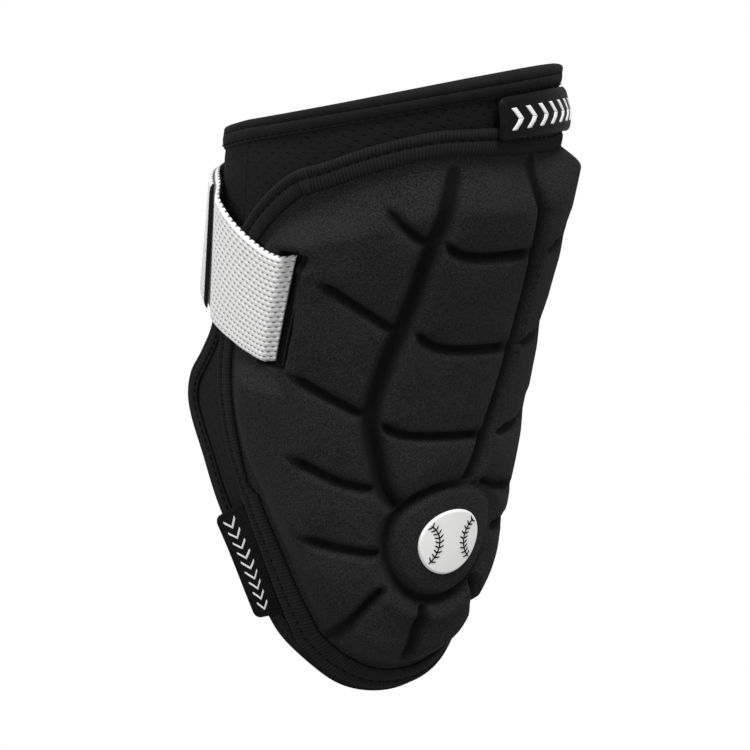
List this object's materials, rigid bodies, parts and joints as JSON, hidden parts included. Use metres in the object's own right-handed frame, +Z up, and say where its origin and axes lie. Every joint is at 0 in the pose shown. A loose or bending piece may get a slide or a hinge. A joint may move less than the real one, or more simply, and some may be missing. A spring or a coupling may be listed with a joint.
{
  "type": "baseball elbow guard",
  "caption": "Batter's elbow guard: mesh sleeve with open back, moulded grooved foam shell on its front, taped edge, and a wide elastic strap through side slots.",
  "frame": {"origin": "middle of the arm's hollow at the level of the strap's slots", "axes": "+Z up the arm from forearm to upper arm, -Y out of the front of the shell, +X to the side without the tag"},
  "size_m": [0.1223, 0.1359, 0.2233],
  "materials": {
    "pod_cloth": "pebbled jersey bonded to moulded foam, matte",
    "mesh_cloth": "stretch mesh with small perforations, matte",
    "hem_cloth": "folded and stitched stretch cloth, matte",
    "edge_tape": "ribbed overlocked tape, matte",
    "white_elastic": "ribbed knit elastic, matte",
    "black_rubber": "soft moulded rubber, satin",
    "woven_label": "tightly woven label, matte",
    "white_print": "thick rubberised print, matte"
  },
  "bodies": {
    "root": {"sleeve": "mesh_cloth", "rim_hem": "hem_cloth", "lower_hem": "hem_cloth", "shell": "pod_cloth", "shell_tape": "edge_tape", "strap": "white_elastic", "strap_tab": "white_elastic", "strap_tab_tape": "edge_tape", "cuff_patch": "black_rubber", "side_tag": "woven_label", "ball_badge": "white_print"}
  },
  "joints": []
}
